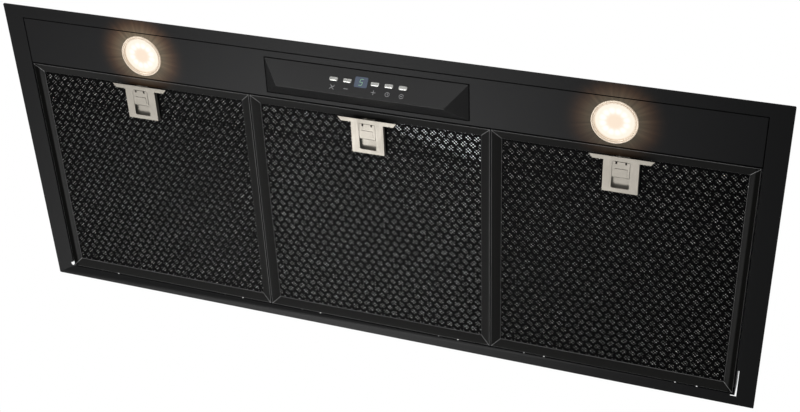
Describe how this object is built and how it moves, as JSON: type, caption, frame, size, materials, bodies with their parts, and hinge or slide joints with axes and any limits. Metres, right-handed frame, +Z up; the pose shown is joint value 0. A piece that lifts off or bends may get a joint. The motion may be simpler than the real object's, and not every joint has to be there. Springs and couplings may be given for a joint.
{
  "type": "range hood insert",
  "caption": "Flush range hood insert with latched grease filters that swing down, round lamps, a wedge-shaped push-button pod and an enclosed blower with a round top duct outlet.",
  "frame": {"origin": "centre of the face plate, in the plane where its flange seats on the cabinet", "axes": "+Z up through the duct outlet, +X to the right and +Y to the wall, seen by a cook standing at the control strip; -Y is the front edge with the controls"},
  "size_m": [0.86, 0.37, 0.298],
  "materials": {
    "plate_black": "satin",
    "mesh_black": "satin",
    "satin_nickel": "satin",
    "galvanised": "satin",
    "pod_black": "matte",
    "button_silver": "gloss",
    "display_tint": "gloss",
    "digit_block": "matte",
    "board_green": "satin",
    "lamp_chrome": "polished",
    "lamp_frost": "frosted",
    "lamp_led": "matte",
    "sink_aluminium": "satin",
    "wheel_grey": "matte",
    "shaft_steel": "satin",
    "motor_grey": "satin",
    "rubber": "matte",
    "collar_black": "satin",
    "flap_zinc": "satin",
    "case_grey": "matte",
    "screw_zinc": "satin"
  },
  "bodies": {
    "hood": {"blower_box": "galvanised", "blower_screws": "screw_zinc", "cabinet_clips": "shaft_steel", "cable_gland": "collar_black", "control_board": "board_green", "control_pod": "pod_black", "control_strip": "plate_black", "digit_module": "digit_block", "display_window": "display_tint", "divider_left": "galvanised", "divider_right": "galvanised", "duct_collar": "collar_black", "electronics_case": "case_grey", "electronics_lid": "case_grey", "face_frame": "plate_black", "flap_pin": "shaft_steel", "housing": "galvanised", "key_switches": "digit_block", "lamp_driver": "case_grey", "lamp_left_board": "lamp_led", "lamp_left_heat_sink": "sink_aluminium", "lamp_left_lens": "lamp_frost", "lamp_left_rim": "lamp_chrome", "lamp_right_board": "lamp_led", "lamp_right_heat_sink": "sink_aluminium", "lamp_right_lens": "lamp_frost", "lamp_right_rim": "lamp_chrome", "motor": "motor_grey", "motor_spider": "galvanised", "rubber_bushes": "rubber", "run_capacitor": "sink_aluminium", "scroll_side_left": "galvanised", "scroll_side_right": "galvanised", "scroll_wrap": "galvanised"},
    "filter_1": {"filter_1_frame": "plate_black", "filter_1_mesh": "mesh_black", "filter_1_back": "mesh_black", "filter_1_latch_plate": "satin_nickel"},
    "latch_1": {"filter_1_latch_tongue": "satin_nickel"},
    "filter_2": {"filter_2_frame": "plate_black", "filter_2_mesh": "mesh_black", "filter_2_back": "mesh_black", "filter_2_latch_plate": "satin_nickel"},
    "latch_2": {"filter_2_latch_tongue": "satin_nickel"},
    "filter_3": {"filter_3_frame": "plate_black", "filter_3_mesh": "mesh_black", "filter_3_back": "mesh_black", "filter_3_latch_plate": "satin_nickel"},
    "latch_3": {"filter_3_latch_tongue": "satin_nickel"},
    "key_1": {"button_1": "button_silver"},
    "key_2": {"button_2": "button_silver"},
    "key_3": {"button_3": "button_silver"},
    "key_4": {"button_4": "button_silver"},
    "key_5": {"button_5": "button_silver"},
    "blower_wheel": {"wheel_disc": "wheel_grey", "wheel_blades": "wheel_grey", "wheel_rings": "wheel_grey", "motor_shaft": "shaft_steel"},
    "front_flap": {"flap_front": "flap_zinc"},
    "rear_flap": {"flap_rear": "flap_zinc"}
  },
  "joints": [
    {"name": "filter_1_swing", "type": "hinge", "parent": "hood", "child": "filter_1", "pos_m": [-0.27117, 0.17, -0.0003], "axis": [1, 0, 0], "range_deg": [0, 75]},
    {"name": "filter_2_swing", "type": "hinge", "parent": "hood", "child": "filter_2", "pos_m": [0, 0.17, -0.0003], "axis": [1, 0, 0], "range_deg": [0, 75]},
    {"name": "filter_3_swing", "type": "hinge", "parent": "hood", "child": "filter_3", "pos_m": [0.27117, 0.17, -0.0003], "axis": [1, 0, 0], "range_deg": [0, 75]},
    {"name": "latch_1_pull", "type": "slide", "parent": "filter_1", "child": "latch_1", "axis": [0, 1, 0], "range_m": [0, 0.005], "stiffness_N_per_m": 300, "springref_m": -0.003},
    {"name": "latch_2_pull", "type": "slide", "parent": "filter_2", "child": "latch_2", "axis": [0, 1, 0], "range_m": [0, 0.005], "stiffness_N_per_m": 300, "springref_m": -0.003},
    {"name": "latch_3_pull", "type": "slide", "parent": "filter_3", "child": "latch_3", "axis": [0, 1, 0], "range_m": [0, 0.005], "stiffness_N_per_m": 300, "springref_m": -0.003},
    {"name": "key_1_press", "type": "slide", "parent": "hood", "child": "key_1", "axis": [0, 0.7071, 0.7071], "range_m": [0, 0.001], "stiffness_N_per_m": 500, "springref_m": -0.0005},
    {"name": "key_2_press", "type": "slide", "parent": "hood", "child": "key_2", "axis": [0, 0.7071, 0.7071], "range_m": [0, 0.001], "stiffness_N_per_m": 500, "springref_m": -0.0005},
    {"name": "key_3_press", "type": "slide", "parent": "hood", "child": "key_3", "axis": [0, 0.7071, 0.7071], "range_m": [0, 0.001], "stiffness_N_per_m": 500, "springref_m": -0.0005},
    {"name": "key_4_press", "type": "slide", "parent": "hood", "child": "key_4", "axis": [0, 0.7071, 0.7071], "range_m": [0, 0.001], "stiffness_N_per_m": 500, "springref_m": -0.0005},
    {"name": "key_5_press", "type": "slide", "parent": "hood", "child": "key_5", "axis": [0, 0.7071, 0.7071], "range_m": [0, 0.001], "stiffness_N_per_m": 500, "springref_m": -0.0005},
    {"name": "wheel_spin", "type": "hinge", "parent": "hood", "child": "blower_wheel", "pos_m": [0, 0.012, 0.15], "axis": [1, 0, 0], "continuous": true},
    {"name": "front_flap_swing", "type": "hinge", "parent": "hood", "child": "front_flap", "pos_m": [0, 0.068, 0.2593], "axis": [-1, 0, 0], "range_deg": [0, 75]},
    {"name": "rear_flap_swing", "type": "hinge", "parent": "hood", "child": "rear_flap", "pos_m": [0, 0.068, 0.2593], "axis": [1, 0, 0], "range_deg": [0, 75]}
  ]
}
